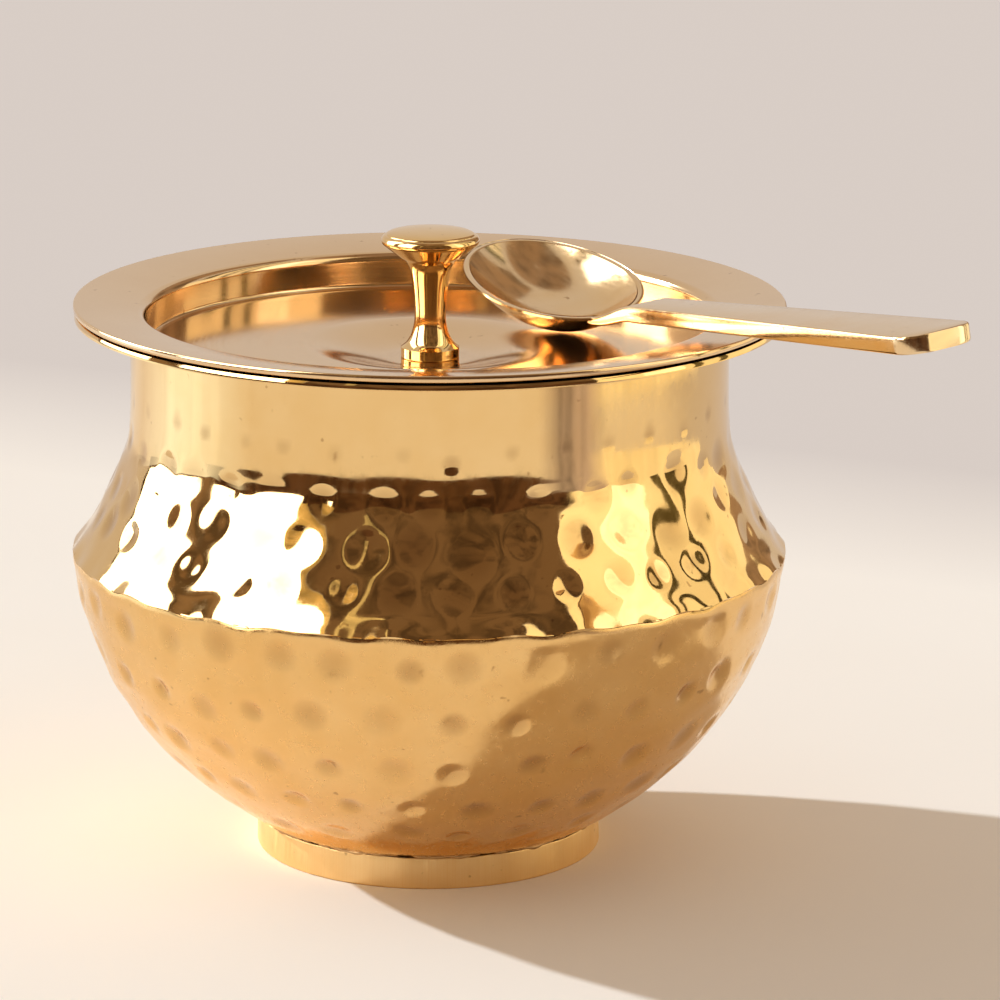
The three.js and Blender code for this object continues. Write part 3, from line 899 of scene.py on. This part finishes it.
def floor():
    half = FLOOR_HALF
    mesh = bpy.data.meshes.new("floor")
    corners = [(-half, -half, 0), (half, -half, 0), (half, half, 0), (-half, half, 0)]
    mesh.from_pydata(corners, [], [(0, 1, 2, 3)])
    made = bpy.data.objects.new("floor", mesh)
    bpy.context.scene.collection.objects.link(made)
    material = bpy.data.materials.new("floor_pale")
    material.use_nodes = True
    tree = material.node_tree
    shader = tree.nodes["Principled BSDF"]
    shader.inputs["Roughness"].default_value = 1
    shader.inputs["Specular IOR Level"].default_value = 0
    place = node(tree, "ShaderNodeTexCoord").outputs["Object"]
    # The floor turns greyer beyond a soft slanted line behind the pot: a painted shadow, where that part of
    # the floor lies out of the sun.
    across = node(tree, "ShaderNodeVectorMath", operation="DOT_PRODUCT")
    across.inputs[1].default_value = PAINTED_SHADE_DIRECTION
    tree.links.new(place, across.inputs[0])
    in_painted_shade = ranged(tree, across.outputs["Value"], PAINTED_SHADE_FROM, PAINTED_SHADE_FULL, 0, 1)
    mottle = noise(tree, place, MOTTLE_SCALE, 2)
    cream = mixed(tree, ranged(tree, mottle, 0.3, 0.7, 0, 0.4), FLOOR_CREAM, FLOOR_WARM)
    tree.links.new(mixed(tree, in_painted_shade, cream, FLOOR_PAINTED_SHADE), shader.inputs["Base Color"])
    mesh.materials.append(material)


def world():
    made = bpy.data.worlds.new("studio")
    bpy.context.scene.world = made
    made.use_nodes = True
    tree = made.node_tree
    background = tree.nodes["Background"]
    ray = node(tree, "ShaderNodeLightPath")
    seen = node(tree, "ShaderNodeMath", operation="MAXIMUM")
    tree.links.new(ray.outputs["Is Camera Ray"], seen.inputs[0])
    tree.links.new(ray.outputs["Is Glossy Ray"], seen.inputs[1])
    clear = node(tree, "ShaderNodeMath", operation="MAXIMUM")
    tree.links.new(seen.outputs[0], clear.inputs[0])
    tree.links.new(ray.outputs["Is Transmission Ray"], clear.inputs[1])
    tree.links.new(mixed(tree, clear.outputs[0], AMBIENT, WORLD), background.inputs["Color"])
    background.inputs["Strength"].default_value = 1


def sun():
    lamp = bpy.data.lights.new("sun", "SUN")
    lamp.energy = SUN_STRENGTH
    lamp.angle = math.radians(SUN_WIDTH)
    lamp.color = SUN_COLOUR
    made = bpy.data.objects.new("sun", lamp)
    bpy.context.scene.collection.objects.link(made)
    made.rotation_mode = "QUATERNION"
    made.rotation_quaternion = Vector(SUN_DIRECTION).to_track_quat("Z", "Y")


# Studio cards that only the metal sees: azimuth from the front (right is positive),
# elevation, distance in millimetres, colour, strength and the width of soft sides in degrees.
CARDS = (
    ("card_dark", (-124, 104), (3, 20), 455, (0.13, 0.065, 0.035), 1),
    ("card_front", (-37, 50), (20, 72), 455, (0.21, 0.13, 0.075), 1),
    ("card_gleam", (-25, -22), (24, 60), 440, (1, 0.82, 0.45), 1),
    ("card_floor_left", (-134, -66), (0, 11), 335, (0.86, 0.92, 1.0), 1.6, 26),
    # A dim card low on the right, seen in the metal as a darker patch of floor: a painted reflection of a
    # shadow on the floor
    ("card_floor_brown", (38, 66), (0, 9), 335, (0.64, 0.53, 0.53), 1, 9),
    ("card_gold", (-43, -37), (18, 68), 425, (1, 0.72, 0.3), 1),
    ("card_window", (-80, -43), (12, 62), 445, (1, 1, 1), 5.5),
    ("card_window_far", (-122, -94), (9, 60), 445, (1, 1, 1), 5.5),
    ("card_post", (-94, -80), (8, 62), 450, (0.3, 0.19, 0.11), 1),
    ("card_warm", (50, 66), (0, 70), 422, (1, 0.88, 0.62), 1.5),
    ("card_bright", (66, 82), (8, 60), 418, (1, 0.93, 0.80), 2.2),
    ("card_warm_side", (66, 118), (0, 66), 424, (1, 0.88, 0.62), 1.3),
    ("card_bar", (86, 90), (4, 66), 415, (0.15, 0.12, 0.05), 1),
    ("card_bar_far", (98, 102), (4, 66), 415, (0.15, 0.12, 0.05), 1),
    ("card_edge", (110, 118), (30, 66), 415, (0.14, 0.12, 0.06), 1),
    ("card_gold_low", (104, 128), (4, 30), 424, (1, 0.88, 0.6), 1.3),
    ("card_brown", (128, 160), (10, 66), 430, (0.42, 0.28, 0.18), 1),
    ("card_top", (-180, 180), (70, 89), 430, (0.40, 0.27, 0.18), 1),
)


CARD_ROWS = 13
CARD_COLUMNS = 25
CARD_CLOUD = (14, 14, 7)
BRIGHT_FADE = 0.85
DARK_FADE = 0.45


def card(name, azimuths, elevations, distance, colour, strength, soft=0):
    rows = np.radians(np.linspace(*elevations, CARD_ROWS))
    columns = np.radians(np.linspace(*azimuths, CARD_COLUMNS))
    elevation, azimuth = np.meshgrid(rows, columns, indexing="ij")
    points = np.stack(
        [
            distance * np.cos(elevation) * np.sin(azimuth),
            -distance * np.cos(elevation) * np.cos(azimuth),
            distance * np.sin(elevation) + 1,
        ],
        -1,
    )
    made = made_mesh(name, points.reshape(-1, 3), grid_faces(CARD_ROWS, CARD_COLUMNS, around=False))
    turn = np.degrees(azimuth)
    from_side = np.minimum(turn - azimuths[0], azimuths[1] - turn)
    cover = made.data.attributes.new("cover", "FLOAT", "POINT")
    share = np.clip(from_side / soft, 0, 1) if soft else np.ones(turn.shape)
    cover.data.foreach_set("value", share.reshape(-1))
    material = bpy.data.materials.new(name)
    material.use_nodes = True
    tree = material.node_tree
    tree.nodes.remove(tree.nodes["Principled BSDF"])
    glow = node(tree, "ShaderNodeEmission", Strength=strength)
    place = node(tree, "ShaderNodeTexCoord").outputs["Object"]
    cloud = noise(tree, place, CARD_CLOUD, 3)
    fade = BRIGHT_FADE if strength > 1 else DARK_FADE
    darker = tuple(fade * c for c in colour)
    patchy = mixed(tree, ranged(tree, cloud, 0.45, 0.62, 0, 1), colour, darker)
    tree.links.new(patchy, glow.inputs["Color"])
    covered = node(tree, "ShaderNodeAttribute", attribute_name="cover")
    clear = node(tree, "ShaderNodeBsdfTransparent")
    blend = node(tree, "ShaderNodeMixShader")
    tree.links.new(covered.outputs["Fac"], blend.inputs[0])
    tree.links.new(clear.outputs[0], blend.inputs[1])
    tree.links.new(glow.outputs[0], blend.inputs[2])
    tree.links.new(blend.outputs[0], tree.nodes["Material Output"].inputs["Surface"])
    made.data.materials.append(material)
    made.visible_camera = False
    made.visible_diffuse = False
    made.visible_shadow = False
    made.visible_transmission = False
    made.visible_volume_scatter = False


def camera():
    yaw, pitch, roll = (math.radians(a) for a in (CAMERA_YAW, CAMERA_PITCH, CAMERA_ROLL))
    ahead = math.cos(pitch)
    forward = Vector((math.sin(yaw) * ahead, math.cos(yaw) * ahead, -math.sin(pitch)))
    level = Vector((math.cos(yaw), -math.sin(yaw), 0))
    upright = level.cross(forward)
    right = math.cos(roll) * level + math.sin(roll) * upright
    up = math.cos(roll) * upright - math.sin(roll) * level
    turn = Matrix((right, up, -forward)).transposed()
    place = (Vector(CAMERA_PLACE) + Vector((*AXIS, 0))) * MM
    lens = bpy.data.cameras.new("camera")
    lens.lens = LENS
    lens.sensor_width = SENSOR
    lens.clip_end = 50
    made = bpy.data.objects.new("camera", lens)
    made.matrix_world = Matrix.Translation(place) @ turn.to_4x4()
    bpy.context.scene.collection.objects.link(made)
    bpy.context.scene.camera = made


def cad_materials():
    """The washer and screw under the lid keep their CAD shape."""
    plain = brass("plain_brass", 0.34, 0.06, (4000, 3, 900), 0.03)
    for name in ("knob_washer", "knob_screw"):
        for slot in bpy.data.objects[name].material_slots:
            slot.material = plain


def build():
    hammered_low = brass(
        "hammered_brass", 0.21, 0.10, (900, 40, 700), 0.012, nick_and_shade_darkness=0.8, tint=BOWL_BRASS, deep=BOWL_DEEP
    )
    hammered_high = brass("shoulder_brass", 0.06, 0.03, (900, 40, 500), 0.002, nick_and_shade_darkness=0.8)
    brushed = brass("brushed_brass", 0.48, 0.14, (300, 110, 60), 0.03)
    brazed = brass("brazed_seam", 0.4, 0.1, (900, 60, 900), 0.05, tint=BEAD_BRASS, deep=BEAD_DEEP)
    spun = brass("spun_brass", 0.12, 0.04, (5200, 2.2, 5200), 0.008, tint=LID_BRASS, deep=LID_DEEP)
    turned_knob = brass("turned_brass", 0.09, 0.03, (2600, 2, 5200), 0.008)
    beaten = brass("beaten_brass", 0.15, 0.05, (1800, 12, 900), 0.008, tint=SPOON_BRASS)
    dressed(bowl(), "pot", "pot_bowl", hammered_low, "pot_bowl")
    dressed(shoulder(), "pot", "pot_shoulder", hammered_high, "pot_shoulder")
    dressed(foot_ring(), "pot", "foot_ring", brushed, "foot_ring")
    dressed(braze(), "pot", "foot_ring", brazed)
    dressed(lid(), "lid", "lid", spun, "lid")
    dressed(knob(), "lid", "knob", turned_knob, "knob")
    dressed(spoon(), "spoon", "spoon", beaten, "spoon")
    cad_materials()


bpy.context.scene.view_settings.view_transform = "Standard"
camera()
floor()
world()
sun()
for entry in CARDS:
    card(*entry)
build()

bpy.context.view_layer.update()
